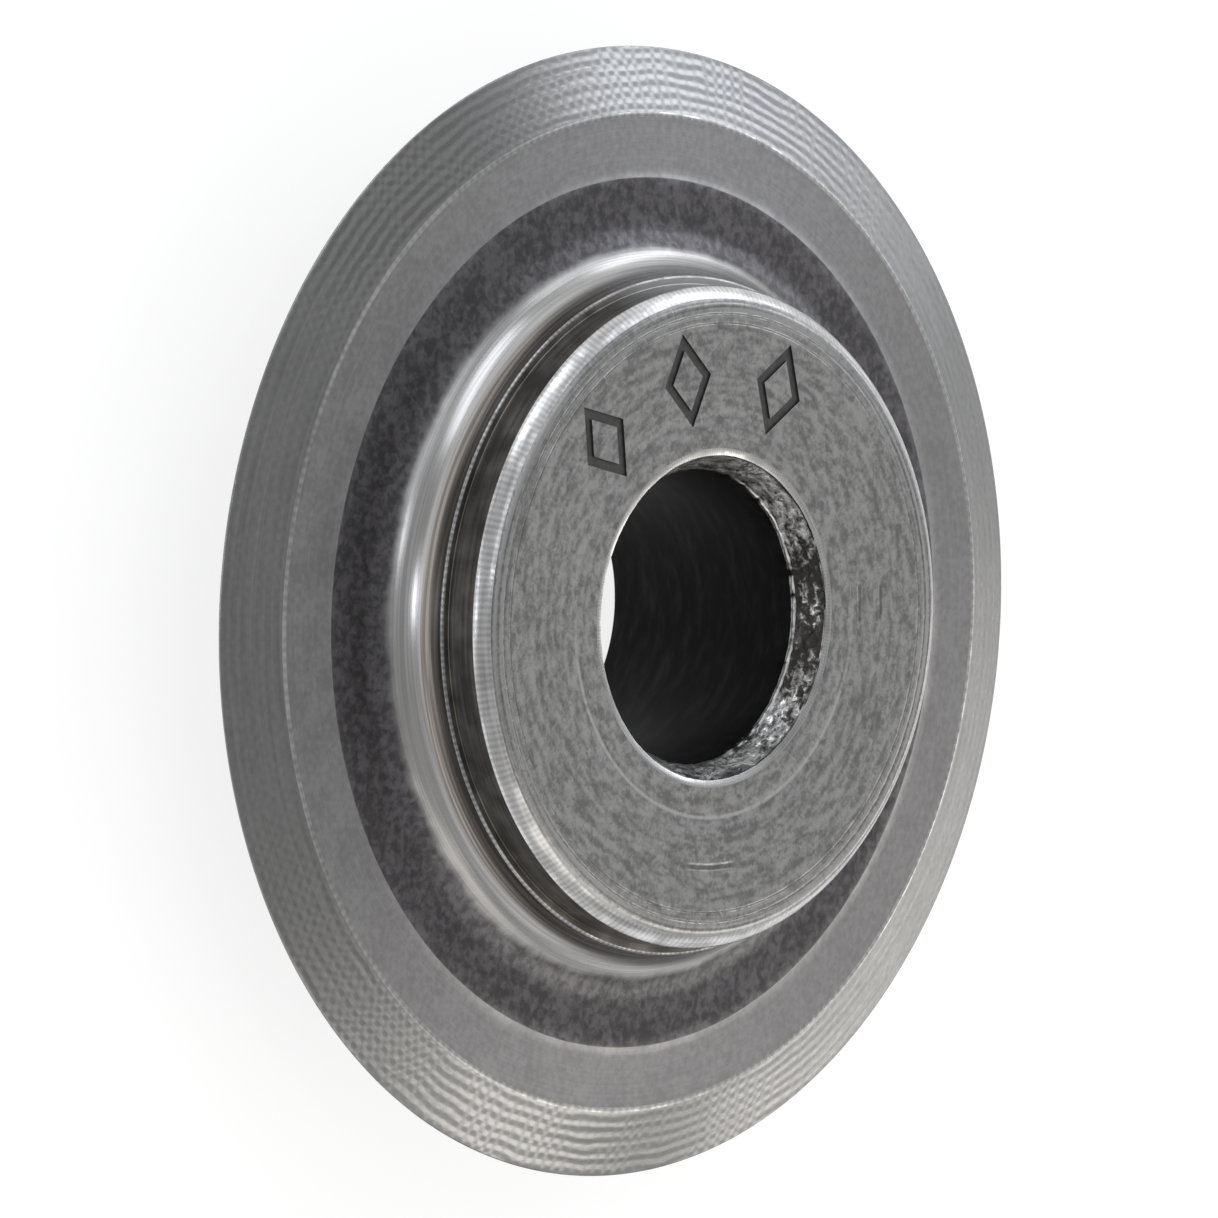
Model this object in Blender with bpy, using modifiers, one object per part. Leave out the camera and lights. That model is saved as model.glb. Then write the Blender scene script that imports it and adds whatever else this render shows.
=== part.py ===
"""A pipe cutter wheel, turned and ground from one piece of tool steel.

The wheel lies flat on the end of its hub: its axis is Z and its cutting edge is in the plane z = 0.
Lengths are in metres and angles in radians.
"""

import math

import bmesh
import bpy

# The blade.
EDGE_DIAMETER = 0.0320          # across the cutting edge
EDGE_LAND = 0.00006             # width of the blunt crest of the edge
BEVEL_WIDTH = 0.0019            # radial width of each ground bevel
BEVEL_ANGLE = math.radians(20.5)    # each bevel to the plane of the edge
FACE_TAPER = math.radians(3.8)  # the disc thickens from the bevels towards the hub

# The hub.
HUB_DIAMETER = 0.01876
HUB_LENGTH = 0.00815            # end face to end face
RIM_WIDTH = 0.00048             # slightly rounded chamfer on the outer rim of both ends
RIM_BULGE = 0.00005             # how far the middle of that chamfer stands out
NECK_FILLET_RADIUS = 0.0016     # hollow between the disc and the collar
COLLAR_STEP = 0.00025           # ledge at the top of the collar, proud of the hub
COLLAR_LAND = 0.00010           # straight stretch at the top of the fillet
FACE_LINE_DIAMETER = 0.01133    # turned line round the bore, on both end faces
FACE_LINE_WIDTH = 0.00016
FACE_LINE_DEPTH = 0.00004

# The bore that runs on the tool's pin.
BORE_DIAMETER = 0.0083
MOUTH_WIDTH = 0.00045           # countersink of the upper end, measured radially
MOUTH_DEPTH = 0.00094           # from the end face down to the bore
LIP_WIDTH = 0.00021             # burnished edge round that countersink
LIP_DROP = 0.00004
BACK_MOUTH_CHAMFER = 0.00030    # the lower end only has its corner broken

# How finely round forms are faceted.
TURN_STEPS = 120
FILLET_STEPS = 8
RIM_STEPS = 4

STEEL_COLOR = (0.36, 0.36, 0.37, 1.0)
STEEL_ROUGHNESS = 0.38
SMOOTH_LIMIT = math.radians(14)


def neck_arc(collar_radius, root_radius, root_height, top_limit):
    """Points of the hollow from the tapered disc up to the collar, from the disc inwards.

    The arc touches the disc's tapered face and the collar's upright side. It is limited by the
    room between the bevel and the collar, and by the height of the hub.
    """
    room = root_radius - collar_radius
    radius = min(NECK_FILLET_RADIUS, room, top_limit - root_height)
    centre_radius = collar_radius + radius
    face_height = root_height + (root_radius - centre_radius) * math.tan(FACE_TAPER)
    centre_height = face_height + radius / math.cos(FACE_TAPER)
    points = []
    for step in range(FILLET_STEPS + 1):
        share = step / FILLET_STEPS
        tilt = FACE_TAPER + share * (math.pi / 2 - FACE_TAPER)
        along = centre_radius - radius * math.sin(tilt)
        up = centre_height - radius * math.cos(tilt)
        points.append((along, up))
    return points


def rim_curve(hub_radius, face_height):
    """Points of the rounded chamfer, from the side of the hub up to the end face."""
    points = []
    for step in range(RIM_STEPS + 1):
        share = step / RIM_STEPS
        bulge = RIM_BULGE * 4 * share * (1 - share) / math.sqrt(2)
        along = hub_radius - RIM_WIDTH * share + bulge
        up = face_height - RIM_WIDTH * (1 - share) + bulge
        points.append((along, up))
    return points


def upper_mouth():
    """Points of the countersink with its lip, from the end face down to the bore."""
    bore_radius = BORE_DIAMETER / 2
    face_height = HUB_LENGTH / 2
    return [
        (bore_radius + MOUTH_WIDTH + LIP_WIDTH, face_height),
        (bore_radius + MOUTH_WIDTH, face_height - LIP_DROP),
        (bore_radius, face_height - MOUTH_DEPTH),
    ]


def lower_mouth():
    """Points of the broken corner at the other end of the bore, measured from the middle of the wheel."""
    bore_radius = BORE_DIAMETER / 2
    face_height = HUB_LENGTH / 2
    return [
        (bore_radius + BACK_MOUTH_CHAMFER, face_height),
        (bore_radius, face_height - BACK_MOUTH_CHAMFER),
    ]


def half_profile(mouth):
    """Half section from the cutting edge up over the hub to the mouth of the bore, as (radius, height)."""
    edge_radius = EDGE_DIAMETER / 2
    root_radius = edge_radius - BEVEL_WIDTH
    root_height = EDGE_LAND / 2 + BEVEL_WIDTH * math.tan(BEVEL_ANGLE)
    hub_radius = HUB_DIAMETER / 2
    collar_radius = hub_radius + COLLAR_STEP
    face_height = HUB_LENGTH / 2
    rim_height = face_height - RIM_WIDTH
    line_radius = FACE_LINE_DIAMETER / 2

    neck = neck_arc(collar_radius, root_radius, root_height, rim_height - COLLAR_LAND)
    collar_top = neck[-1][1] + COLLAR_LAND
    points = [(edge_radius, EDGE_LAND / 2), (root_radius, root_height)]
    points += neck
    points += [(collar_radius, collar_top), (hub_radius, collar_top)]
    points += rim_curve(hub_radius, face_height)
    points += [
        (line_radius + FACE_LINE_WIDTH / 2, face_height),
        (line_radius, face_height - FACE_LINE_DEPTH),
        (line_radius - FACE_LINE_WIDTH / 2, face_height),
    ]
    return points + mouth


def whole_profile():
    """The closed section, running down the outer side and back up the bore."""
    upper = half_profile(upper_mouth())
    lower = half_profile(lower_mouth())
    down = [(radius, height) for radius, height in reversed(upper)]
    down += [(radius, -height) for radius, height in lower]
    return down


def section_mesh(name, points):
    """A mesh that holds only the closed section, standing in the XZ plane."""
    mesh = bpy.data.meshes.new(name)
    section = bmesh.new()
    corners = [section.verts.new((radius, 0.0, height)) for radius, height in points]
    for index, corner in enumerate(corners):
        section.edges.new((corner, corners[(index + 1) % len(corners)]))
    section.to_mesh(mesh)
    section.free()
    return mesh


def turn(target):
    """Turn the section once round the Z axis."""
    screw = target.modifiers.new("turned", "SCREW")
    screw.axis = "Z"
    screw.angle = 2 * math.pi
    screw.steps = TURN_STEPS
    screw.render_steps = TURN_STEPS
    screw.use_merge_vertices = True
    screw.merge_threshold = 0.000001


def tool_steel():
    """Hardened steel, ground and turned to a satin grey."""
    material = bpy.data.materials.new("tool_steel")
    material.use_nodes = True
    shader = material.node_tree.nodes["Principled BSDF"]
    shader.inputs["Base Color"].default_value = STEEL_COLOR
    shader.inputs["Metallic"].default_value = 1.0
    shader.inputs["Roughness"].default_value = STEEL_ROUGHNESS
    material.diffuse_color = STEEL_COLOR
    return material


def bake_turn(wheel):
    """Apply the turn, and shade the round surfaces smooth between their sharp rims."""
    evaluated = wheel.evaluated_get(bpy.context.evaluated_depsgraph_get())
    mesh = bpy.data.meshes.new_from_object(evaluated)
    section = wheel.data
    wheel.modifiers.clear()
    wheel.data = mesh
    bpy.data.meshes.remove(section)
    mesh.name = wheel.name
    mesh.shade_smooth()
    mesh.set_sharp_from_angle(angle=SMOOTH_LIMIT)


def build_wheel(collection):
    """The whole wheel: one turned solid."""
    wheel = bpy.data.objects.new("cutter_wheel", section_mesh("cutter_wheel", whole_profile()))
    collection.objects.link(wheel)
    turn(wheel)
    wheel.data.materials.append(tool_steel())
    bake_turn(wheel)
    return wheel


def main():
    for old in list(bpy.data.objects):
        bpy.data.objects.remove(old, do_unlink=True)
    collection = bpy.data.collections.new("pipe_cutter_wheel")
    bpy.context.scene.collection.children.link(collection)
    build_wheel(collection)


main()
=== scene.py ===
import math

import bpy
import bmesh
import numpy as np
from mathutils import Matrix, Vector, noise


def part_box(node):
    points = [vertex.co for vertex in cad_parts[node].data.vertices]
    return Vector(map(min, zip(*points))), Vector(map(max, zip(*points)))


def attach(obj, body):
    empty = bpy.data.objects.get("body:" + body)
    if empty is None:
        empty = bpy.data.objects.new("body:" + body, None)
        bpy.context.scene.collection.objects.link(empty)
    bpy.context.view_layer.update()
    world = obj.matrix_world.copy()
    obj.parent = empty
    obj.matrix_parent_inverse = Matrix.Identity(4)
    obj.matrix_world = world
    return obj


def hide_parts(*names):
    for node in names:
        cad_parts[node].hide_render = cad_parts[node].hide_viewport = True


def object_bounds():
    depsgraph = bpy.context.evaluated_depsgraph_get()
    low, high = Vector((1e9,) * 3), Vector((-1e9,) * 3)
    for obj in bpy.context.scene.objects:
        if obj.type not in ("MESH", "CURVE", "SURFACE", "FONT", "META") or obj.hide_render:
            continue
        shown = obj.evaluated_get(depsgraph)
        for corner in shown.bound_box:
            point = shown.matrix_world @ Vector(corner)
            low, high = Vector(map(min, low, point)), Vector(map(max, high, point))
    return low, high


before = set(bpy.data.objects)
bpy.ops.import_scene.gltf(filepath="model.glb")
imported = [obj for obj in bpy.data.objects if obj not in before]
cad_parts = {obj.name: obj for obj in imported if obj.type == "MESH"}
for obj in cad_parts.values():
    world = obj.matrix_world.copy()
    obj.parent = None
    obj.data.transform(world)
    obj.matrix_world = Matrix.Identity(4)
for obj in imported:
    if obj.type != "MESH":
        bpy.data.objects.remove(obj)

# Looks of a pipe cutter wheel: one turned piece of tool steel, lying on the end of its hub.
# Section sizes are in millimetres, as the wheel is drawn; the scene is in metres.

mm = 0.001
micrometre = 1e-6
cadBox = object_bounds()
print("stage: frame loaded")


# small helpers for shader trees

evenLevel = 0.5        # middle of every pattern, and what a pattern fades out to


def newNode(tree, kind, **settings):
    node = tree.nodes.new(kind)
    for key, value in settings.items():
        setattr(node, key, value)
    return node


def feed(tree, socket, value):
    if isinstance(value, bpy.types.NodeSocket):
        tree.links.new(value, socket)
    else:
        socket.default_value = value


def calc(tree, operation, first, second=0.0, third=0.0):
    node = newNode(tree, "ShaderNodeMath", operation=operation)
    for socket, value in zip(node.inputs, (first, second, third)):
        feed(tree, socket, value)
    return node.outputs[0]


def times(tree, first, second):
    return calc(tree, "MULTIPLY", first, second)


def away(tree, value, target):
    # distance between the value and the target
    return calc(tree, "ABSOLUTE", calc(tree, "SUBTRACT", value, target))


def ease(tree, value, fromLow, fromHigh, toLow=0.0, toHigh=1.0):
    # smooth step from toLow to toHigh while value runs over the given range
    node = newNode(tree, "ShaderNodeMapRange", interpolation_type="SMOOTHSTEP")
    for name, given in (("Value", value), ("From Min", fromLow), ("From Max", fromHigh),
                        ("To Min", toLow), ("To Max", toHigh)):
        feed(tree, node.inputs[name], given)
    return node.outputs["Result"]


def mixNumber(tree, factor, first, second):
    node = newNode(tree, "ShaderNodeMix", data_type="FLOAT")
    for index, value in ((0, factor), (2, first), (3, second)):
        feed(tree, node.inputs[index], value)
    return node.outputs[0]


def mixColor(tree, factor, first, second):
    node = newNode(tree, "ShaderNodeMix", data_type="RGBA")
    for index, value in ((0, factor), (6, first), (7, second)):
        feed(tree, node.inputs[index], value)
    return node.outputs[2]


def combine(tree, x, y, z):
    node = newNode(tree, "ShaderNodeCombineXYZ")
    for socket, value in zip(node.inputs, (x, y, z)):
        feed(tree, socket, value)
    return node.outputs[0]


def noiseOf(tree, vector, scale, detail=2.0, roughness=0.5, distortion=0.0):
    # the scale is in waves per millimetre
    node = newNode(tree, "ShaderNodeTexNoise", noise_dimensions="3D")
    for name, value in (("Vector", vector), ("Scale", scale), ("Detail", detail),
                        ("Roughness", roughness), ("Distortion", distortion)):
        feed(tree, node.inputs[name], value)
    return node.outputs["Fac"]


def turnedSpace(tree):
    # place on the wheel in millimetres: distance from the axis, height, and the turn as a unit vector
    coords = newNode(tree, "ShaderNodeTexCoord").outputs["Object"]
    scaled = newNode(tree, "ShaderNodeVectorMath", operation="SCALE")
    feed(tree, scaled.inputs[0], coords)
    feed(tree, scaled.inputs["Scale"], 1 / mm)
    split = newNode(tree, "ShaderNodeSeparateXYZ")
    feed(tree, split.inputs[0], scaled.outputs[0])
    x, y, z = split.outputs
    radius = calc(tree, "SQRT", calc(tree, "ADD", times(tree, x, x), times(tree, y, y)))
    return {"place": scaled.outputs[0], "radius": radius, "height": z,
            "cos": calc(tree, "DIVIDE", x, radius), "sin": calc(tree, "DIVIDE", y, radius),
            "turn": calc(tree, "ARCTAN2", y, x)}


def lathe(tree, space, across, pitch, runs, detail=2.0, roughness=0.5):
    # lines that follow the turn: pitch apart, broken into arcs (more runs, shorter arcs)
    vector = combine(tree, calc(tree, "DIVIDE", across, pitch),
                     times(tree, space["cos"], runs), times(tree, space["sin"], runs))
    return noiseOf(tree, vector, 1.0, detail, roughness)


def ripple(tree, value, perUnit, wander, stray=6.0):
    # even waves from 0 to 1 along value, led a little astray by the wander noise
    phase = calc(tree, "ADD", times(tree, value, perUnit), times(tree, wander, stray))
    return calc(tree, "MULTIPLY_ADD", calc(tree, "SINE", phase), 0.5, 0.5)


def blend(tree, shares, **patterns):
    # sum of the patterns, each times its share
    total = 0.0
    for name, share in shares.items():
        total = calc(tree, "MULTIPLY_ADD", patterns[name], share, total)
    return total


def bumped(tree, layers):
    # layers: (height socket, depth in micrometres), laid one over the other
    normal = None
    for height, depth in layers:
        node = newNode(tree, "ShaderNodeBump")
        node.inputs["Strength"].default_value = 1.0
        node.inputs["Distance"].default_value = depth * micrometre
        feed(tree, node.inputs["Height"], height)
        if normal is not None:
            feed(tree, node.inputs["Normal"], normal)
        normal = node.outputs[0]
    return normal


def newMaterial(name, anisotropy=0.0):
    # bare metal; with anisotropy its highlights spread across the turned lines
    material = bpy.data.materials.new(name)
    material.use_nodes = True
    tree = material.node_tree
    shader = tree.nodes["Principled BSDF"]
    shader.inputs["Metallic"].default_value = 1.0
    shader.inputs["Anisotropic"].default_value = anisotropy
    if anisotropy:
        shader.inputs["Anisotropic Rotation"].default_value = 0.25      # a quarter turn
        tangent = newNode(tree, "ShaderNodeTangent", direction_type="RADIAL", axis="Z")
        feed(tree, shader.inputs["Tangent"], tangent.outputs[0])
    return material, tree, shader


def dress(tree, shader, color, roughness, layers):
    feed(tree, shader.inputs["Base Color"], color)
    feed(tree, shader.inputs["Roughness"], roughness)
    feed(tree, shader.inputs["Normal"], bumped(tree, layers))


def grey(level, warmth=0.0):
    return (level * (1 + warmth), level, level * (1 - warmth), 1.0)


def coolGrey(level, tint):
    # the faint violet of ground and heat-treated steel
    return (level * (1 + tint * 0.5), level * (1 - tint * 0.5), level * (1 + tint), 1.0)


# finishes of the steel
# contrast: the range of the summed patterns over which the colour goes from dark to light
# roughness: one value, or its values at the two ends of such a range
# patterns of noise: waves per millimetre, detail, roughness, distortion
# turned lines and arcs: millimetres apart, runs, detail, roughness
# shares: how much of each pattern the sum holds; depths are in micrometres

bevelFinish = {
    "dark": 0.175,
    "light": 0.305,
    "contrast": (0.30, 0.70),
    "roughness": (0.34, 0.25),
    "anisotropy": 0.40,
    "pitch": 0.31,             # mm between grinding rings
    "chatter": 236,            # marks of the grinding wheel's chatter, once round
    "linesPerRing": 4,
    "lines": (2.5, 1.0),       # runs and detail
    "wander": (0.7, 2.0),
    "cloud": (0.45, 2.0),
    "grain": (5.0, 2.0),
    "beaded": (0.38, 0.62, 0.35, 1.0),     # range of the cloud in which rings turn into beads, and shares
    "shares": {"rings": 0.19, "beads": 0.31, "lines": 0.20, "cloud": 0.12, "grain": 0.18},
    "ringDepth": 1.5,
    "lineDepth": 0.7,
    # the rings stand out on two opposite sides: the turn's cosine, leaned a little, from plain to full
    "plainTo": 0.55,
    "ringedFrom": 0.93,
    "ringLean": 0.20,
    "plainRest": 0.15,         # share of the rings that is left between
}


def makeBevelSteel():
    f = bevelFinish
    material, tree, shader = newMaterial("ground_bevel", f["anisotropy"])
    space = turnedSpace(tree)
    wander = noiseOf(tree, space["place"], *f["wander"])
    cloud = noiseOf(tree, space["place"], *f["cloud"])
    grain = noiseOf(tree, space["place"], *f["grain"])
    lines = lathe(tree, space, space["radius"], f["pitch"] / f["linesPerRing"], *f["lines"])
    rings = ripple(tree, space["radius"], 2 * math.pi / f["pitch"], wander)
    chatter = ripple(tree, space["turn"], f["chatter"], wander)
    beads = mixNumber(tree, rings, chatter, calc(tree, "SUBTRACT", 1.0, chatter))
    beads = mixNumber(tree, ease(tree, cloud, *f["beaded"]), rings, beads)
    side = calc(tree, "MULTIPLY_ADD", space["sin"], -f["ringLean"], calc(tree, "ABSOLUTE", space["cos"]))
    ringed = ease(tree, side, f["plainTo"], f["ringedFrom"], f["plainRest"], 1.0)
    rings = mixNumber(tree, ringed, evenLevel, rings)
    beads = mixNumber(tree, ringed, evenLevel, beads)
    tone = blend(tree, f["shares"], rings=rings, beads=beads, lines=lines, cloud=cloud, grain=grain)
    color = mixColor(tree, ease(tree, tone, *f["contrast"]), grey(f["dark"]), grey(f["light"]))
    dress(tree, shader, color, ease(tree, tone, *f["contrast"], *f["roughness"]),
          [(lines, f["lineDepth"]), (beads, f["ringDepth"])])
    return material


ringFinish = {
    "dark": 0.252,
    "light": 0.345,
    "tint": 0.012,
    "contrast": (0.36, 0.64),
    "roughness": (0.40, 0.32),
    "roughRange": (0.3, 0.7),  # of the cloud
    "anisotropy": 0.35,
    "lines": (0.06, 1.5, 3.0, 0.6),
    "cloud": (1 / 1.1, 3.0, 0.6),
    "speck": (5.0, 2.0),
    "shares": {"lines": 0.20, "cloud": 0.46, "speck": 0.34},
    "lineDepth": 0.7,
    "speckDepth": 1.5,
}


def makeRingSteel():
    # ground ring of the disc, clouded and a touch blue
    f = ringFinish
    material, tree, shader = newMaterial("ground_ring", f["anisotropy"])
    space = turnedSpace(tree)
    lines = lathe(tree, space, space["radius"], *f["lines"])
    cloud = noiseOf(tree, space["place"], *f["cloud"])
    speck = noiseOf(tree, space["place"], *f["speck"])
    tone = blend(tree, f["shares"], lines=lines, cloud=cloud, speck=speck)
    color = mixColor(tree, ease(tree, tone, *f["contrast"]),
                     coolGrey(f["dark"], f["tint"]), coolGrey(f["light"], f["tint"]))
    dress(tree, shader, color, ease(tree, cloud, *f["roughRange"], *f["roughness"]),
          [(lines, f["lineDepth"]), (speck, f["speckDepth"])])
    return material


scaleFinish = {
    "dark": 0.070,
    "light": 0.144,
    "tint": 0.04,
    "contrast": (0.36, 0.66),
    "roughness": 0.38,
    "grain": (4.0, 3.0, 0.55, 0.3),
    "patch": (0.9, 2.0),
    "shares": {"grain": 0.75, "patch": 0.25},
    "grainDepth": 2.5,
    # rubbed bright beside the ground ring: grey, share, width in mm, and how far its border strays
    "rubbed": 0.23,
    "rubbedShare": 0.8,
    "rubbedWidth": 0.14,
    "stray": 0.16,
    "wander": (2.2, 2.0),
}


def scaleSkin(tree, space):
    # dark heat-treatment scale: colour and grain, shared by the disc and the foot of the hollow
    f = scaleFinish
    grain = noiseOf(tree, space["place"], *f["grain"])
    patch = noiseOf(tree, space["place"], *f["patch"])
    tone = blend(tree, f["shares"], grain=grain, patch=patch)
    color = mixColor(tree, ease(tree, tone, *f["contrast"]),
                     coolGrey(f["dark"], f["tint"]), coolGrey(f["light"], f["tint"]))
    return color, grain


def makeScaleSteel(ringInner):
    f = scaleFinish
    material, tree, shader = newMaterial("dark_scale")
    space = turnedSpace(tree)
    color, grain = scaleSkin(tree, space)
    wander = noiseOf(tree, space["place"], *f["wander"])
    reach = calc(tree, "MULTIPLY_ADD", wander, f["stray"], space["radius"])
    rubbed = ease(tree, reach, ringInner, ringInner + f["rubbedWidth"], 0.0, f["rubbedShare"])
    dress(tree, shader, mixColor(tree, rubbed, color, grey(f["rubbed"])), f["roughness"],
          [(grain, f["grainDepth"])])
    return material


skinTopGap = (-1.0, -0.90, 0.2, 1.0)     # range of the turn's cosine at the top of the picture, where the skin is left out, and shares of skin left


def skinLeft(tree, space):
    # the hub's brown skin is left out at the top of the picture, so the collar and the hub's side are lighter
    # there
    return ease(tree, space["cos"], *skinTopGap)


neckFinish = {
    "dark": (0.33, 0.01),      # level and warmth
    "light": (0.45, 0.01),
    "contrast": (0.3, 0.7),
    "roughness": 0.265,
    "lines": (0.11, 1.6, 2.0),
    "lineDepth": 1.0,
    # where the turned finish ends, it fades over this many mm to each side, and its border strays
    "fade": 0.16,
    "stray": 0.30,
    "wander": (0.8, 3.0, 0.6),
    # above these heights in mm the collar kept the hub's brown skin
    "skinFrom": 1.85,
    "skinFull": 2.08,
    "skinDark": (0.169, 0.10),
    "skinLight": (0.351, 0.08),
    "skinContrast": (0.35, 0.65),
    "skinLean": (0.85, 1.35, 0.0, 0.13),   # painted shade: on the picture's lower left the dark skin reaches lower, a painted dark reflection there; range of cosine less sine, mm
}


def makeNeckSteel(finishEdge):
    # turned hollow under the hub; outside finishEdge the disc's dark scale runs into it
    f = neckFinish
    material, tree, shader = newMaterial("turned_neck")
    space = turnedSpace(tree)
    lines = lathe(tree, space, calc(tree, "SUBTRACT", space["radius"], space["height"]), *f["lines"])
    turned = mixColor(tree, ease(tree, lines, *f["contrast"]), grey(*f["dark"]), grey(*f["light"]))
    skin = mixColor(tree, ease(tree, lines, *f["skinContrast"]),
                    grey(*f["skinDark"]), grey(*f["skinLight"]))
    # painted shade: the skin starts lower on the picture's lower left, darkening the hollow where a dark
    # reflection falls
    lean = calc(tree, "SUBTRACT", space["cos"], space["sin"])
    height = calc(tree, "ADD", calc(tree, "ABSOLUTE", space["height"]), ease(tree, lean, *f["skinLean"]))
    isSkin = times(tree, ease(tree, height, f["skinFrom"], f["skinFull"]), skinLeft(tree, space))
    turned = mixColor(tree, isSkin, turned, skin)
    wander = calc(tree, "SUBTRACT", noiseOf(tree, space["place"], *f["wander"]), evenLevel)
    border = calc(tree, "MULTIPLY_ADD", wander, f["stray"], space["radius"])
    isTurned = ease(tree, border, finishEdge + f["fade"], finishEdge - f["fade"])
    scale, grain = scaleSkin(tree, space)
    dress(tree, shader, mixColor(tree, isTurned, scale, turned),
          mixNumber(tree, isTurned, scaleFinish["roughness"], f["roughness"]),
          [(mixNumber(tree, isTurned, grain, evenLevel), scaleFinish["grainDepth"]),
           (mixNumber(tree, isTurned, evenLevel, lines), f["lineDepth"])])
    return material


wallFinish = {
    "dark": (0.09, 0.08),      # level and warmth
    "light": (0.23, 0.06),
    "bare": 0.40,              # the steel at the top of the picture, where the skin is left out
    "contrast": (0.38, 0.68),
    "roughness": 0.42,
    "anisotropy": 0.2,
    "lines": (0.12, 2.0, 3.0, 0.6),
    "patch": (1.2, 3.0),
    "shares": {"lines": 0.5, "patch": 0.5},
    "lineDepth": 3.0,
    "patchDepth": 4.0,
}


def makeWallSteel():
    # the side of the hub kept its brown-black skin, except at the top of the picture
    f = wallFinish
    material, tree, shader = newMaterial("hub_side", f["anisotropy"])
    space = turnedSpace(tree)
    lines = lathe(tree, space, space["height"], *f["lines"])
    patch = noiseOf(tree, space["place"], *f["patch"])
    tone = blend(tree, f["shares"], lines=lines, patch=patch)
    skin = mixColor(tree, ease(tree, tone, *f["contrast"]), grey(*f["dark"]), grey(*f["light"]))
    dress(tree, shader, mixColor(tree, skinLeft(tree, space), grey(f["bare"]), skin), f["roughness"],
          [(lines, f["lineDepth"]), (patch, f["patchDepth"])])
    return material


rimFinish = {
    "dark": 0.31,
    "light": 0.68,
    "contrast": (0.30, 0.68),
    "roughness": (0.34, 0.21),
    "roughRange": (0.35, 0.65),    # of the wear
    "chatter": 302,            # beads, once round
    "wander": (0.9, 2.0),
    "lines": (0.09, 2.5, 2.0),
    "wear": (1.6, 2.0),
    "shares": {"chatter": 0.18, "lines": 0.40, "wear": 0.42},
    "chatterDepth": 1.0,
    "lineDepth": 0.8,
    "beadless": (-1.0, -0.80), # range of the turn's cosine over which the beads of a worn crest come back
}


def makeRimSteel(name, level, beading, isWorn=False):
    # fresh corners, beaded by the tool's chatter; the level scales their grey
    f = rimFinish
    material, tree, shader = newMaterial(name)
    space = turnedSpace(tree)
    wander = noiseOf(tree, space["place"], *f["wander"])
    lines = lathe(tree, space, space["radius"], *f["lines"])
    wear = noiseOf(tree, space["place"], *f["wear"])
    if isWorn:
        beading = times(tree, ease(tree, space["cos"], *f["beadless"]), beading)
    chatter = mixNumber(tree, beading, evenLevel, ripple(tree, space["turn"], f["chatter"], wander))
    tone = blend(tree, f["shares"], chatter=chatter, lines=lines, wear=wear)
    color = mixColor(tree, ease(tree, tone, *f["contrast"]),
                     grey(f["dark"] * level), grey(f["light"] * level))
    dress(tree, shader, color, ease(tree, wear, *f["roughRange"], *f["roughness"]),
          [(chatter, f["chatterDepth"]), (lines, f["lineDepth"])])
    return material


faceFinish = {
    "dark": 0.17,
    "light": 0.42,
    "contrast": (0.34, 0.66),
    "roughness": (0.44, 0.30),
    "roughRange": (0.3, 0.7),
    "grain": (1 / 0.165, 1.0, 0.5, 0.9),
    "pits": (3.9, 1.5, 0.5, 0.5),
    "lines": (0.10, 1.2, 2.0),
    "arcs": (0.23, 10.0, 1.0),
    "roughShares": {"grain": 0.36, "pits": 0.14, "arcs": 0.50},
    "smoothShares": {"lines": 0.76, "grain": 0.32},
    "smoothFrom": 8.50,        # the turned outer ring starts here
    "smoothFade": 0.12,
    "grainDepth": 5.0,
    "lineDepth": 1.2,
    "dentDepth": 14.0,
    # painted highlight: the turned line round the bore is lightened in colour on the picture's lower half
    # only, and broken by the pits
    "lineFade": (0.08, 0.02),
    "lineSide": (-0.2, 0.5),
    "lineBreaks": (0.25, 0.50, 0.35, 1.0),
    "lineShare": 0.65,
    "lineLight": 0.567,
    # fine dark lines that close the ring: radii, fade in mm, breaks
    "ringLines": (8.35, 8.62),
    "ringFade": (0.045, 0.015),
    "ringBreaks": (0.35, 0.60, 0.2, 0.8),
    # dents on the end face: radius, degrees clockwise from the top of the picture, length, width
    "dents": ((7.07, 175.8, 2.20, 0.17), (5.95, 83.5, 1.30, 0.12), (6.80, 83.8, 1.20, 0.10)),
    "dentEnds": (1 / 2, 1 / 3),        # shares of the length, from the middle, over which a dent fades
    "dentSides": (0.75, 0.25),         # shares of the width
    "dentDark": 0.09,
    "dentShare": 0.55,
}


def paintedLineHighlight(tree, space, pits):
    f = faceFinish
    near = ease(tree, away(tree, space["radius"], wheel["lineRadius"]), *f["lineFade"])
    broken = times(tree, ease(tree, space["cos"], *f["lineSide"]), ease(tree, pits, *f["lineBreaks"]))
    return times(tree, near, broken)


def oneDent(tree, space, radius, angle, length, width):
    # along and across the turn; the front keeps it off the opposite side
    f = faceFinish
    turn = math.radians(180 - angle)
    cosTurn = math.cos(turn)
    sinTurn = math.sin(turn)
    side = calc(tree, "SUBTRACT", times(tree, space["sin"], cosTurn), times(tree, space["cos"], sinTurn))
    front = calc(tree, "ADD", times(tree, space["cos"], cosTurn), times(tree, space["sin"], sinTurn))
    ends = [length / radius * share for share in f["dentEnds"]]
    sides = [width * share for share in f["dentSides"]]
    inLength = ease(tree, calc(tree, "ABSOLUTE", side), *ends)
    inWidth = ease(tree, away(tree, space["radius"], radius), *sides)
    return times(tree, times(tree, inLength, inWidth), calc(tree, "GREATER_THAN", front, 0.0))


def dentsAndLines(tree, space, pits):
    # 1 in the dents and in the ring's fine lines, 0 elsewhere
    f = faceFinish
    dented = 0.0
    for radius in f["ringLines"]:
        line = ease(tree, away(tree, space["radius"], radius), *f["ringFade"])
        dented = calc(tree, "MAXIMUM", dented, times(tree, line, ease(tree, pits, *f["ringBreaks"])))
    for dent in f["dents"]:
        dented = calc(tree, "MAXIMUM", dented, oneDent(tree, space, *dent))
    return dented


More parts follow.
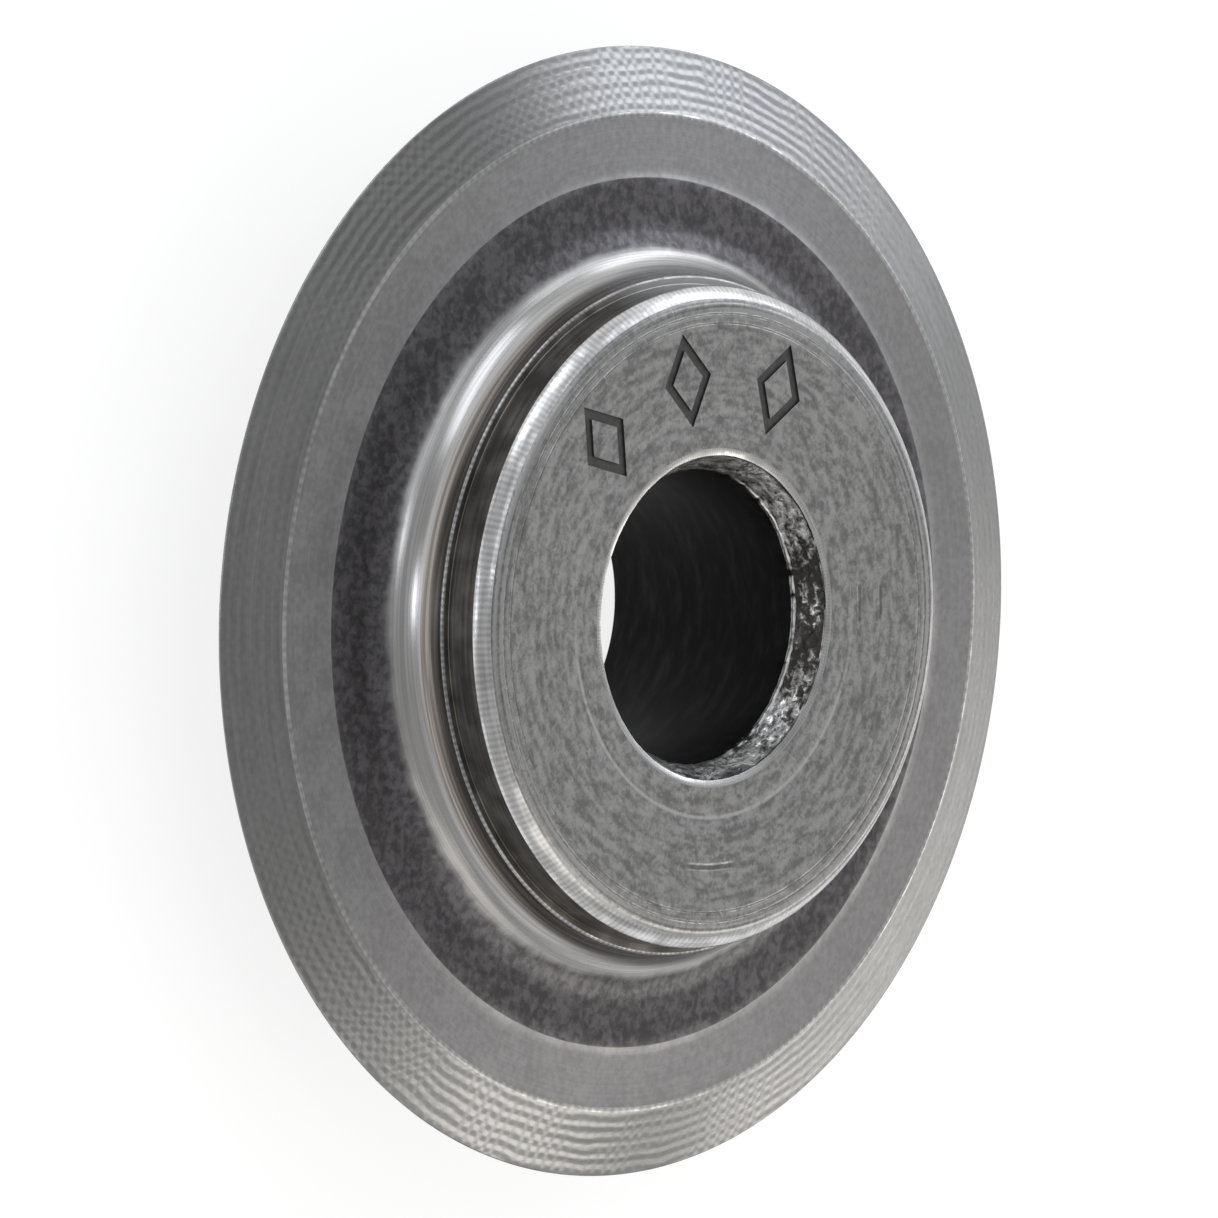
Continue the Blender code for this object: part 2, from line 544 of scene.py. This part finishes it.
def makeHubFaceSteel():
    # granular skin with a narrow turned ring outside
    f = faceFinish
    material, tree, shader = newMaterial("hub_face")
    space = turnedSpace(tree)
    grain = noiseOf(tree, space["place"], *f["grain"])
    pits = noiseOf(tree, space["place"], *f["pits"])
    lines = lathe(tree, space, space["radius"], *f["lines"])
    arcs = lathe(tree, space, space["radius"], *f["arcs"])
    isSmooth = ease(tree, space["radius"],
                    f["smoothFrom"] - f["smoothFade"], f["smoothFrom"] + f["smoothFade"])
    rough = blend(tree, f["roughShares"], grain=grain, pits=pits, arcs=arcs)
    tone = mixNumber(tree, isSmooth, rough, blend(tree, f["smoothShares"], lines=lines, grain=grain))
    color = mixColor(tree, ease(tree, tone, *f["contrast"]), grey(f["dark"]), grey(f["light"]))
    # painted highlight on the turned line, on the lower half of the picture only
    bright = times(tree, paintedLineHighlight(tree, space, pits), f["lineShare"])
    color = mixColor(tree, bright, color, grey(f["lineLight"]))
    dented = dentsAndLines(tree, space, pits)
    # painted shade: the dents and the ring's fine lines are darkened in colour as well as dipped in the bump
    color = mixColor(tree, times(tree, dented, f["dentShare"]), color, grey(f["dentDark"]))
    dress(tree, shader, color, ease(tree, tone, *f["roughRange"], *f["roughness"]),
          [(mixNumber(tree, isSmooth, rough, evenLevel), f["grainDepth"]), (lines, f["lineDepth"]),
           (calc(tree, "SUBTRACT", 1.0, dented), f["dentDepth"])])
    return material


mouthFinish = {
    "dark": (0.06, 0.06),      # level and warmth
    "light": (0.78, 0.01),
    "contrast": (0.42, 0.62),
    "roughness": (0.53, 0.28),
    "roughRange": (0.40, 0.65),    # of the flecks
    "flecks": (6.0, 2.0, 0.6, 0.6),
    "patch": (1.3, 2.0),
    "streaks": (0.16, 7.0, 2.0),
    "shares": {"flecks": 0.42, "patch": 0.26, "streaks": 0.32},
    "fleckDepth": 16.0,
    "streakDepth": 9.0,
    # painted shade on the picture's right side and painted light at its top and bottom: side, its range, what
    # the sum of patterns gains there
    "uneven": (("sin", 0.80, 0.97, -0.09), ("cos", -0.3, -0.8, 0.05), ("cos", 0.3, 0.8, 0.03)),
}


def makeMouthSteel():
    # torn countersink: bright flecks, and chatter streaks that run round it
    f = mouthFinish
    material, tree, shader = newMaterial("rough_mouth")
    space = turnedSpace(tree)
    flecks = noiseOf(tree, space["place"], *f["flecks"])
    patch = noiseOf(tree, space["place"], *f["patch"])
    streaks = lathe(tree, space, space["height"], *f["streaks"])
    tone = blend(tree, f["shares"], flecks=flecks, patch=patch, streaks=streaks)
    # painted shade and light by the side of the picture
    for side, start, full, gain in f["uneven"]:
        tone = calc(tree, "MULTIPLY_ADD", ease(tree, space[side], start, full), gain, tone)
    color = mixColor(tree, ease(tree, tone, *f["contrast"]), grey(*f["dark"]), grey(*f["light"]))
    dress(tree, shader, color, ease(tree, flecks, *f["roughRange"], *f["roughness"]),
          [(flecks, f["fleckDepth"]), (streaks, f["streakDepth"])])
    return material


burrFinish = {
    "dark": 0.03,
    "light": 0.85,
    "roughness": 0.38,
    "pieces": (3.0, 2.0),
    "pieceRange": (0.32, 0.55),
    "side": (0.25, 0.75),      # range of the turn's sine over which the painted glint appears
    "depth": 6.0,
}


def makeBurrSteel():
    # metal pushed up at the throat, real in the section; painted highlight: bright in patches on the picture's
    # right side only, near black elsewhere
    f = burrFinish
    material, tree, shader = newMaterial("throat_burr")
    space = turnedSpace(tree)
    pieces = noiseOf(tree, space["place"], *f["pieces"])
    paintedGlint = times(tree, ease(tree, pieces, *f["pieceRange"]), ease(tree, space["sin"], *f["side"]))
    dress(tree, shader, mixColor(tree, paintedGlint, grey(f["dark"]), grey(f["light"])), f["roughness"],
          [(pieces, f["depth"])])
    return material


boreFinish = {
    "dark": 0.010,
    "light": 0.022,
    "contrast": (0.4, 0.8),
    "roughness": 0.50,
    "lines": (0.30, 4.0, 3.0, 0.6),
    "lineDepth": 2.0,
}


def makeBoreSteel():
    # painted shade: the bore's wall is coloured almost black for the shade deep in the bore, with faint reamer
    # lines
    f = boreFinish
    material, tree, shader = newMaterial("bore_wall")
    space = turnedSpace(tree)
    lines = lathe(tree, space, space["height"], *f["lines"])
    color = mixColor(tree, ease(tree, lines, *f["contrast"]), grey(f["dark"]), grey(f["light"]))
    dress(tree, shader, color, f["roughness"], [(lines, f["lineDepth"])])
    return material


markFinish = {
    "dark": 0.05,
    "light": 0.12,
    "roughness": 0.55,
    "grain": (6.0, 2.0),
    "grainDepth": 8.0,
}


def makeMarkSteel():
    # dull dark floor of the engraved marks
    f = markFinish
    material, tree, shader = newMaterial("engraved_mark")
    grain = noiseOf(tree, turnedSpace(tree)["place"], *f["grain"])
    dress(tree, shader, mixColor(tree, grain, grey(f["dark"]), grey(f["light"])), f["roughness"],
          [(grain, f["grainDepth"])])
    return material


# the wheel

# the turned section: millimetres, and degrees where a line says so
wheel = {
    "edgeLand": 0.06,          # thickness of the blunt cutting edge
    "crestHalf": 0.014,        # half of its flat crest
    "crestRound": (0.010, 0.025),      # how far in its rounding and its corner go
    "bevelWidth": 1.90,        # radial width of each ground bevel
    "bevelAngle": 20.5,        # degrees
    "grooveCount": 6,          # grinding rings on a bevel, as real grooves
    "grooveDepth": 0.007,
    "grooveRest": 0.6,         # share of that depth which every groove has
    "grooveBeat": 1.7,         # how fast the rest of it comes and goes, in radians a point
    "footOut": 0.070,          # rounding of the bevel's foot: where it starts, its middle, where it ends
    "footMiddle": (0.010, 0.012),
    "footIn": 0.075,
    "faceTaper": 3.8,          # degrees
    "ringInner": 12.34,        # where the ground ring ends and the dark scale starts
    "ringDrop": 0.012,         # the grinding took this much off the scale's level
    "ringStep": 0.02,          # half of the slope between the two levels
    "stepDrop": 0.001,
    "neckRadius": 1.60,
    "neckFinish": 10.32,       # where the turned finish of the hollow ends
    "hubRadius": 9.38,
    "collarStep": 0.25,
    "collarLand": 0.10,
    "collarRound": 0.08,       # rounding of the collar's crest
    "ledgeRound": 0.02,
    "rimWidth": 0.48,
    "rimBulge": 0.05,
    "rimBright": 0.75,         # bright share of that chamfer, from its foot; the rest is dull
    "rimGap": 0.01,
    "rimTop": (0.020, 0.014),  # corner to the end face: out from the chamfer's end, below the face
    "rimRunOut": 0.050,
    "lineRadius": 5.665,       # turned line on the end faces
    "lineWidth": 0.16,
    "lineDepth": 0.010,
    "boreRadius": 4.15,
    "mouthWidth": 0.45,
    "mouthDepth": 0.94,
    "lipWidth": 0.21,          # bright burnished edge between the end face and the mouth
    "lipDrop": 0.04,
    "lipSag": 0.3,             # share of the drop at the lip's middle
    "lipCorner": (0.02, 0.05),
    # ledge of metal pushed up at the throat of the mouth: out from the bore, above the throat
    "burr": ((0.060, 0.090), (0.012, 0.075), (0.0, 0.050), (0.0, -0.020)),
    "backMouth": 0.30,
    "turns": 360,              # facets once round
    "smoothLimit": 38,         # degrees; sharper edges are shaded as edges
}

# facets along each stretch of the section, and in each groove
parts = {
    "groove": 6, "ring": 6, "scale": 4, "neck": 26, "crest": 4, "wall": 5, "rim": 8,
    "faceOuter": 5, "faceInner": 3, "mouth": 12, "bore": 6,
}

makers = {
    "bevel": makeBevelSteel,
    "foot": lambda: makeRimSteel("bevel_foot", level=0.80, beading=0.5),
    "ring": makeRingSteel,
    "scale": lambda: makeScaleSteel(wheel["ringInner"]),
    "neck": lambda: makeNeckSteel(wheel["neckFinish"]),
    "crest": lambda: makeRimSteel("collar_crest", level=0.55, beading=1.0, isWorn=True),
    "wall": makeWallSteel,
    "rim": lambda: makeRimSteel("bright_rim", level=1.0, beading=0.5),
    "face": makeHubFaceSteel,
    "lip": lambda: makeRimSteel("bore_lip", level=0.9, beading=0.3),
    "mouth": makeMouthSteel,
    "burr": makeBurrSteel,
    "bore": makeBoreSteel,
    "mark": makeMarkSteel,
}
zoneNames = list(makers)


def straight(start, end, count):
    # points after start, up to and with end
    return [(start[0] + (end[0] - start[0]) * i / count, start[1] + (end[1] - start[1]) * i / count)
            for i in range(1, count + 1)]


def arc(centre, radius, fromTilt, toTilt, count):
    # points after fromTilt; a tilt is the outward normal's angle from the axis, in degrees
    tilts = [math.radians(fromTilt + (toTilt - fromTilt) * i / count) for i in range(1, count + 1)]
    return [(centre[0] + radius * math.sin(t), centre[1] + radius * math.cos(t)) for t in tilts]


def grooved(w, points, depth):
    # sink a straight run of points into the steel, in even waves of uneven depth
    first = Vector(points[0])
    along = (Vector(points[-1]) - first).normalized()
    inward = Vector((along.y, -along.x))
    sunk = []
    for i, point in enumerate(points[:-1]):
        wave = 0.5 - 0.5 * math.cos(2 * math.pi * (i + 1) / parts["groove"])
        uneven = w["grooveRest"] + (1 - w["grooveRest"]) * math.sin(i * w["grooveBeat"])
        sunk.append(tuple(Vector(point) + inward * (depth * wave * uneven)))
    return sunk + [points[-1]]


# a section is a list of (radius, height, zone of the stretch that ends there), from the edge to the bore

def lay(section, points, zone):
    section.extend((p[0], p[1], zone) for p in points)


def discHeight(w, radius):
    # level of the disc's tapered face
    rootRadius = w["edgeRadius"] - w["bevelWidth"]
    rootHeight = w["edgeLand"] / 2 + w["bevelWidth"] * math.tan(math.radians(w["bevelAngle"]))
    return rootHeight + (rootRadius - radius) * math.tan(math.radians(w["faceTaper"]))


def layBlade(section, w, grooveDepth):
    # bevel with its grinding rings, then the fine bright line where it meets the disc
    slope = math.tan(math.radians(w["bevelAngle"]))
    edge = w["edgeRadius"]
    half = w["edgeLand"] / 2
    roundIn, cornerIn = w["crestRound"]
    lay(section, [(edge, w["crestHalf"]), (edge - roundIn, half)], "bevel")
    lay(section, [(edge - cornerIn, half + cornerIn * slope)], "bevel")
    root = edge - w["bevelWidth"]
    rootHeight = discHeight(w, root)
    bevelEnd = (root + w["footOut"], rootHeight - w["footOut"] * slope)
    run = straight(section[-1], bevelEnd, w["grooveCount"] * parts["groove"])
    lay(section, grooved(w, run, grooveDepth), "bevel")
    out, down = w["footMiddle"]
    ringStart = root - w["footIn"]
    lay(section, [(root + out, rootHeight - down)], "foot")
    lay(section, [(ringStart, discHeight(w, ringStart) - w["ringDrop"])], "foot")


def layDisc(section, w):
    # ground ring, tiny step up, scale, and the hollow up to the collar
    ringEnd = w["ringInner"] + w["ringStep"]
    scaleStart = w["ringInner"] - w["ringStep"]
    ringCorner = (ringEnd, discHeight(w, ringEnd) - w["ringDrop"])
    lay(section, straight(section[-1], ringCorner, parts["ring"]), "ring")
    lay(section, [(scaleStart, discHeight(w, scaleStart) - w["stepDrop"])], "ring")
    taper = math.radians(w["faceTaper"])
    neck = w["neckRadius"]
    middle = w["hubRadius"] + w["collarStep"] + neck
    centre = (middle, discHeight(w, middle) + neck / math.cos(taper))
    tangent = (centre[0] - neck * math.sin(taper), centre[1] - neck * math.cos(taper))
    lay(section, straight(section[-1], tangent, parts["scale"]), "scale")
    lay(section, arc(centre, -neck, w["faceTaper"], 90, parts["neck"]), "neck")


def layHub(section, w):
    # collar with its bright crest, ledge, side of the hub, rounded rim, end face with its turned line
    hub = w["hubRadius"]
    collar = hub + w["collarStep"]
    top = section[-1][1] + w["collarLand"]
    crest = w["collarRound"]
    lay(section, [(collar, top - crest)], "neck")
    lay(section, arc((collar - crest, top - crest), crest, 90, 0, parts["crest"]), "crest")
    lay(section, [(hub + w["ledgeRound"], top), (hub, top + w["ledgeRound"])], "wall")
    face = w["halfLength"]
    rimFoot = face - w["rimWidth"]
    lay(section, straight(section[-1], (hub, rimFoot - w["rimGap"]), parts["wall"]), "wall")
    for i in range(parts["rim"]):
        share = i / parts["rim"]
        bulge = w["rimBulge"] * 4 * share * (1 - share) / math.sqrt(2)
        reach = w["rimWidth"] * share
        zone = "rim" if share <= w["rimBright"] else "face"
        lay(section, [(hub - reach + bulge, rimFoot + reach + bulge)], zone)
    rimEnd = hub - w["rimWidth"]
    out, down = w["rimTop"]
    lay(section, [(rimEnd + out, face - down), (rimEnd - w["rimRunOut"], face)], "face")
    lineOuter = (w["lineRadius"] + w["lineWidth"] / 2, face)
    lineInner = (w["lineRadius"] - w["lineWidth"] / 2, face)
    lay(section, straight(section[-1], lineOuter, parts["faceOuter"]), "face")
    lay(section, [(w["lineRadius"], face - w["lineDepth"]), lineInner], "face")


def layUpperMouth(section, w):
    # lip, torn countersink and burr
    face = w["halfLength"]
    bore = w["boreRadius"]
    lip = bore + w["mouthWidth"]
    lipHeight = face - w["lipDrop"]
    throat = face - w["mouthDepth"]
    lay(section, straight(section[-1], (lip + w["lipWidth"], face), parts["faceInner"]), "face")
    cornerIn, cornerDown = w["lipCorner"]
    lay(section, [(lip + w["lipWidth"] / 2, face - w["lipDrop"] * w["lipSag"]), (lip, lipHeight),
                  (lip - cornerIn, lipHeight - cornerDown)], "lip")
    burr = [(bore + out, throat + up) for out, up in w["burr"]]
    lay(section, straight(section[-1], burr[0], parts["mouth"]), "mouth")
    lay(section, burr[1:], "burr")


def layLowerMouth(section, w):
    # only a broken corner
    face = w["halfLength"]
    outer = (w["boreRadius"] + w["backMouth"], face)
    lay(section, straight(section[-1], outer, parts["faceInner"]), "face")
    lay(section, [(w["boreRadius"], face - w["backMouth"])], "lip")


def halfSection(w, layMouth, grooveDepth):
    section = []
    layBlade(section, w, grooveDepth)
    layDisc(section, w)
    layHub(section, w)
    layMouth(section, w)
    lay(section, straight(section[-1], (w["boreRadius"], 0.0), parts["bore"]), "bore")
    return section


def wholeSection(w, grooveDepth):
    # closed, walked from the bore's middle up, over the hub, down to the edge and back below
    upper = halfSection(w, layUpperMouth, grooveDepth)
    lower = halfSection(w, layLowerMouth, grooveDepth)
    loop = upper[:0:-1] + [upper[0]]
    nextZones = [zone for radius, height, zone in lower[1:]]
    # the two halves share the middle of the bore
    return loop + [(radius, -height, zone) for (radius, height, own), zone in zip(lower, nextZones)]


def ringedShare(angles):
    # how deep the grinding rings are at each turn, as the bevel's finish has them
    f = bevelFinish
    side = np.abs(np.cos(angles)) - f["ringLean"] * np.sin(angles)
    reach = np.clip((side - f["plainTo"]) / (f["ringedFrom"] - f["plainTo"]), 0, 1)
    return f["plainRest"] + (1 - f["plainRest"]) * reach * reach * (3 - 2 * reach)


def turnWheel(w):
    # the section turned once round, its grooves as deep as they are at each turn
    loop = wholeSection(w, w["grooveDepth"])
    turns = w["turns"]
    count = len(loop)
    angles = np.arange(turns) * 2 * math.pi / turns
    withGrooves = np.array([p[:2] for p in loop]) * mm
    plain = np.array([p[:2] for p in wholeSection(w, 0.0)]) * mm
    section = plain[None] + (withGrooves - plain)[None] * ringedShare(angles)[:, None, None]
    points = np.empty((turns, count, 3))
    points[:, :, 0] = np.cos(angles)[:, None] * section[:, :, 0]
    points[:, :, 1] = np.sin(angles)[:, None] * section[:, :, 0]
    points[:, :, 2] = section[:, :, 1]
    step = np.arange(turns)[:, None] * count
    nextStep = np.roll(step, -1, axis=0)
    row = np.arange(count)[None, :]
    nextRow = np.roll(row, -1, axis=1)
    faces = np.stack([step + row, step + nextRow, nextStep + nextRow, nextStep + row], axis=-1)
    mesh = bpy.data.meshes.new("wheel_steel")
    mesh.from_pydata(points.reshape(-1, 3).tolist(), [], faces.reshape(-1, 4).tolist())
    zones = np.array([zoneNames.index(p[2]) for p in loop])
    mesh.polygons.foreach_set("material_index", np.tile(zones, turns).astype(np.int32))
    return mesh


torn = {
    "coarse": (2.3, 0.055),    # waves per mm, and height in mm
    "fine": (6.0, 0.035),
    "fineShift": (7, 3, 1),
    "lipMargin": 0.02,         # how far past the lip and the throat it goes
    "throatMargin": 0.20,
    "lipFade": 0.12,           # mm over which it fades
    "throatFade": 0.25,
}


def tearMouth(mesh, w):
    # torn metal of the countersink and slightly uneven mouth edge
    t = torn
    coarseScale, coarseHeight = t["coarse"]
    fineScale, fineHeight = t["fine"]
    end = w["mouthDepth"] + t["throatMargin"]
    for vertex in mesh.vertices:
        radius = vertex.co.xy.length / mm
        depth = w["halfLength"] - vertex.co.z / mm
        if radius < w["boreRadius"] + w["mouthWidth"] + t["lipMargin"] and depth < end:
            place = vertex.co / mm
            coarse = noise.noise(place * coarseScale)
            fine = noise.noise(place * fineScale + Vector(t["fineShift"]))
            height = abs(coarseHeight * coarse + fineHeight * fine)
            fade = min(1.0, depth / t["lipFade"]) * min(1.0, (end - depth) / t["throatFade"])
            push = 1 + height * fade / radius
            vertex.co.x *= push
            vertex.co.y *= push


marks = {
    "radius": 6.85,            # of the row of marks on the end face
    "angles": (-46.0, -14.5, 17.0),    # degrees from the top of the picture
    "height": 2.7,
    "width": 1.9,
    "stroke": 0.28,
    "depth": 0.05,
    "weld": 0.0001,
}


def bakedMesh(holder):
    return bpy.data.meshes.new_from_object(holder.evaluated_get(bpy.context.evaluated_depsgraph_get()))


def lozengePoints(width, height):
    return [(width / 2, 0), (0, height / 2), (-width / 2, 0), (0, -height / 2)]


def lozengeBody(m):
    # outline with an open middle, made solid
    inset = m["stroke"] * 2 * math.hypot(m["width"], m["height"])
    inner = (m["width"] - inset / m["height"], m["height"] - inset / m["width"])
    curve = bpy.data.curves.new("mark", "CURVE")
    curve.dimensions = "2D"
    curve.fill_mode = "BOTH"
    curve.extrude = m["depth"] * mm
    for points in (lozengePoints(m["width"], m["height"]), lozengePoints(*inner)):
        spline = curve.splines.new("POLY")
        spline.points.add(len(points) - 1)
        for target, (x, y) in zip(spline.points, points):
            target.co = (x * mm, y * mm, 0, 1)
        spline.use_cyclic_u = True
    holder = bpy.data.objects.new("mark", curve)
    bpy.context.scene.collection.objects.link(holder)
    mesh = bakedMesh(holder)
    bpy.data.objects.remove(holder)
    return mesh


def markCutter(w):
    # the row of lozenges as one body, half sunk into the end face
    m = marks
    body = bmesh.new()
    for angle in m["angles"]:
        mesh = lozengeBody(m)
        mesh.transform(Matrix.Rotation(math.radians(90 - angle), 4, "Z")
                       @ Matrix.Translation((0, m["radius"] * mm, w["halfLength"] * mm)))
        body.from_mesh(mesh)
        bpy.data.meshes.remove(mesh)
    bmesh.ops.remove_doubles(body, verts=body.verts, dist=m["weld"] * mm)
    bmesh.ops.recalc_face_normals(body, faces=body.faces)
    mesh = bpy.data.meshes.new("markCutter")
    body.to_mesh(mesh)
    body.free()
    cutter = bpy.data.objects.new("markCutter", mesh)
    bpy.context.scene.collection.objects.link(cutter)
    return cutter


def cutMarks(piece, w):
    # a row of three plain engraved lozenges
    cutter = markCutter(w)
    cutter.data.materials.append(piece.data.materials[zoneNames.index("mark")])
    cut = piece.modifiers.new("marks", "BOOLEAN")
    cut.operation = "DIFFERENCE"
    cut.solver = "EXACT"
    cut.material_mode = "TRANSFER"
    cut.object = cutter
    engraved = bakedMesh(piece)
    piece.modifiers.clear()
    uncut = piece.data
    piece.data = engraved
    cutterMesh = cutter.data
    bpy.data.objects.remove(cutter)
    bpy.data.meshes.remove(cutterMesh)
    bpy.data.meshes.remove(uncut)
    engraved.name = "wheel_steel"


def makeWheel():
    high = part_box("cutter_wheel")[1]
    w = dict(wheel, edgeRadius=high.x / mm, halfLength=high.z / mm)
    mesh = turnWheel(w)
    for zone in zoneNames:
        mesh.materials.append(makers[zone]())
    tearMouth(mesh, w)
    piece = bpy.data.objects.new("wheel_steel", mesh)
    bpy.context.scene.collection.objects.link(piece)
    cutMarks(piece, w)
    piece.data.shade_smooth()
    piece.data.set_sharp_from_angle(angle=math.radians(w["smoothLimit"]))
    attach(piece, "root")
    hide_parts("cutter_wheel")
    return piece


wheelPiece = makeWheel()
print("stage: wheel made,", len(wheelPiece.data.polygons), "faces")


# camera, as the photograph was taken

camera = {
    "pixels": 1218,
    "edgePixels": 565.85,      # half length of the cutting edge's outline in the photograph
    "centre": (609.5, 610.4),  # of that outline
    "elevation": 43.55,        # of the view above the plane of the edge
    "lean": 3.81,              # degrees that the axis dips to the right
    "distance": 0.30,          # metres, as the clip is
    "clip": (0.01, 10.0),
}


def makeCamera():
    c = camera
    data = bpy.data.cameras.new("camera")
    data.type = "ORTHO"        # the photograph shows no perspective that can be measured
    up = math.radians(c["elevation"])
    toViewer = Vector((0, -math.cos(up), math.sin(up)))
    lifted = Vector((0, math.sin(up), math.cos(up)))     # up in an upright camera
    lean = math.radians(c["lean"])
    right = lifted * math.cos(lean) - Vector((1, 0, 0)) * math.sin(lean)
    above = toViewer.cross(right)
    pixelSize = cadBox[1].x / c["edgePixels"]
    middle = (c["pixels"] - 1) / 2
    aim = right * ((middle - c["centre"][0]) * pixelSize) - above * ((middle - c["centre"][1]) * pixelSize)
    data.ortho_scale = pixelSize * c["pixels"]
    data.clip_start, data.clip_end = c["clip"]
    place = Matrix((right, above, toViewer)).transposed().to_4x4()
    place.translation = aim + toViewer * c["distance"]
    holder = bpy.data.objects.new("camera", data)
    holder.matrix_world = place
    bpy.context.scene.collection.objects.link(holder)
    bpy.context.scene.camera = holder


# floor, backdrop and studio light

# lengths are in metres
studio = {
    "floorRadius": 1.20,
    "wallHeight": 0.20,
    "bendRadius": 0.15,
    "bendParts": 12,
    "turns": 96,
    "weld": 1e-5,
    "skirtDepth": 0.40,        # the backdrop goes on below the floor, for views from low down
    "skirtGlow": 0.955,
    "paint": 0.90,             # as it lights the object
    "shownPaint": 0.30,        # as it is seen: it takes the object's shadow, and the glow lifts it to white
    "glow": 0.80,
    "lampDistance": 0.50,
    "skyLevel": 0.50,
}

coolLight = (0.96, 1.0, 1.06)
warmLight = (1.05, 1.0, 0.93)

lamps = [
    # toward: azimuth from the picture's right towards its top, and elevation, in degrees; metres; watts
    {"name": "rightHigh", "toward": (-34, 38), "size": (0.24, 0.14), "power": 0.215, "tint": warmLight},
    {"name": "rightTopHigh", "toward": (34, 31), "size": (0.24, 0.14), "power": 0.28, "tint": coolLight},
    {"name": "rightLow", "toward": (-14, 15), "size": (0.26, 0.12), "power": 0.21, "tint": warmLight},
    {"name": "rightTopLow", "toward": (19, 17), "size": (0.14, 0.10), "power": 0.072, "tint": coolLight},
    {"name": "topLow", "toward": (49, 9), "size": (0.26, 0.12), "power": 0.27, "tint": coolLight},
    {"name": "topMiddle", "toward": (70, 25), "size": (0.16, 0.12), "power": 0.11, "tint": coolLight},
    {"name": "topLeftLow", "toward": (113, 19), "size": (0.34, 0.14), "power": 0.39, "tint": coolLight},
    {"name": "topLeftHigh", "toward": (110, 52), "size": (0.30, 0.18), "power": 0.117, "tint": coolLight},
    {"name": "bottomFill", "toward": (-80, 41), "size": (0.46, 0.30), "power": 0.31, "tint": warmLight},
    {"name": "cameraSide", "toward": (180, 17), "size": (0.09, 0.05), "power": 0.16, "tint": coolLight},
    {"name": "cameraHigh", "toward": (158, 55), "size": (0.06, 0.05), "power": 0.075, "tint": coolLight},
]


def turnedSheet(name, profile):
    # a thin sheet of the studio, turned round the wheel's axis from the floor's level
    shape = bmesh.new()
    chain = [shape.verts.new((x, 0, z)) for x, z in profile]
    edges = [shape.edges.new(pair) for pair in zip(chain, chain[1:])]
    bmesh.ops.spin(shape, geom=chain + edges, axis=(0, 0, 1), cent=(0, 0, 0), angle=2 * math.pi,
                   steps=studio["turns"])
    bmesh.ops.remove_doubles(shape, verts=shape.verts, dist=studio["weld"])
    bmesh.ops.recalc_face_normals(shape, faces=shape.faces)
    mesh = bpy.data.meshes.new(name)
    shape.to_mesh(mesh)
    shape.free()
    mesh.shade_smooth()
    sheet = bpy.data.objects.new(name, mesh)
    sheet.location.z = cadBox[0].z
    bpy.context.scene.collection.objects.link(sheet)
    return sheet


def makePaleMaterial(name, shownPaint, shownGlow):
    material = bpy.data.materials.new(name)
    material.use_nodes = True
    tree = material.node_tree
    tree.nodes.clear()
    path = newNode(tree, "ShaderNodeLightPath")
    seen = calc(tree, "MAXIMUM", path.outputs["Is Camera Ray"],
                calc(tree, "MAXIMUM", path.outputs["Is Glossy Ray"], path.outputs["Is Transmission Ray"]))
    paint = newNode(tree, "ShaderNodeBsdfDiffuse")
    feed(tree, paint.inputs["Color"], mixColor(tree, seen, grey(studio["paint"]), grey(shownPaint)))
    glow = newNode(tree, "ShaderNodeEmission")
    feed(tree, glow.inputs["Strength"], times(tree, seen, shownGlow))
    both = newNode(tree, "ShaderNodeAddShader")
    feed(tree, both.inputs[0], paint.outputs[0])
    feed(tree, both.inputs[1], glow.outputs[0])
    out = newNode(tree, "ShaderNodeOutputMaterial")
    feed(tree, out.inputs["Surface"], both.outputs[0])
    return material


def makeStage():
    s = studio
    reach = s["floorRadius"]
    bend = s["bendRadius"]
    profile = [(0.0, 0.0), (reach - bend, 0.0)]
    for i in range(1, s["bendParts"] + 1):
        turn = math.pi / 2 * i / s["bendParts"]
        profile.append((reach - bend * (1 - math.sin(turn)), bend * (1 - math.cos(turn))))
    profile.append((reach, s["wallHeight"]))
    floor = turnedSheet("studio_floor", profile)
    floor.data.materials.append(makePaleMaterial("pale_floor", s["shownPaint"], s["glow"]))
    skirt = turnedSheet("backdrop_skirt", [(reach, 0.0), (reach, -s["skirtDepth"])])
    skirt.data.materials.append(makePaleMaterial("pale_skirt", 0.0, s["skirtGlow"]))


def makeLamp(lamp):
    data = bpy.data.lights.new(lamp["name"], "AREA")
    data.shape = "RECTANGLE"
    data.size, data.size_y = lamp["size"]
    data.energy = lamp["power"]
    data.color = lamp["tint"]
    around, up = (math.radians(angle) for angle in lamp["toward"])
    toward = Vector((-math.sin(around) * math.cos(up), math.cos(around) * math.cos(up), math.sin(up)))
    holder = bpy.data.objects.new(lamp["name"], data)
    holder.location = toward * studio["lampDistance"]
    holder.rotation_mode = "QUATERNION"
    holder.rotation_quaternion = toward.to_track_quat("Z", "Y")
    holder.visible_camera = False
    bpy.context.scene.collection.objects.link(holder)


def makeSky():
    world = bpy.data.worlds.new("studio")
    world.use_nodes = True
    sky = world.node_tree.nodes["Background"]
    sky.inputs["Color"].default_value = (1, 1, 1, 1)
    sky.inputs["Strength"].default_value = studio["skyLevel"]
    bpy.context.scene.world = world


makeCamera()
makeStage()
for lamp in lamps:
    makeLamp(lamp)
makeSky()
bpy.context.scene.view_settings.view_transform = "Standard"
print("stage: camera, floor and lamps made")
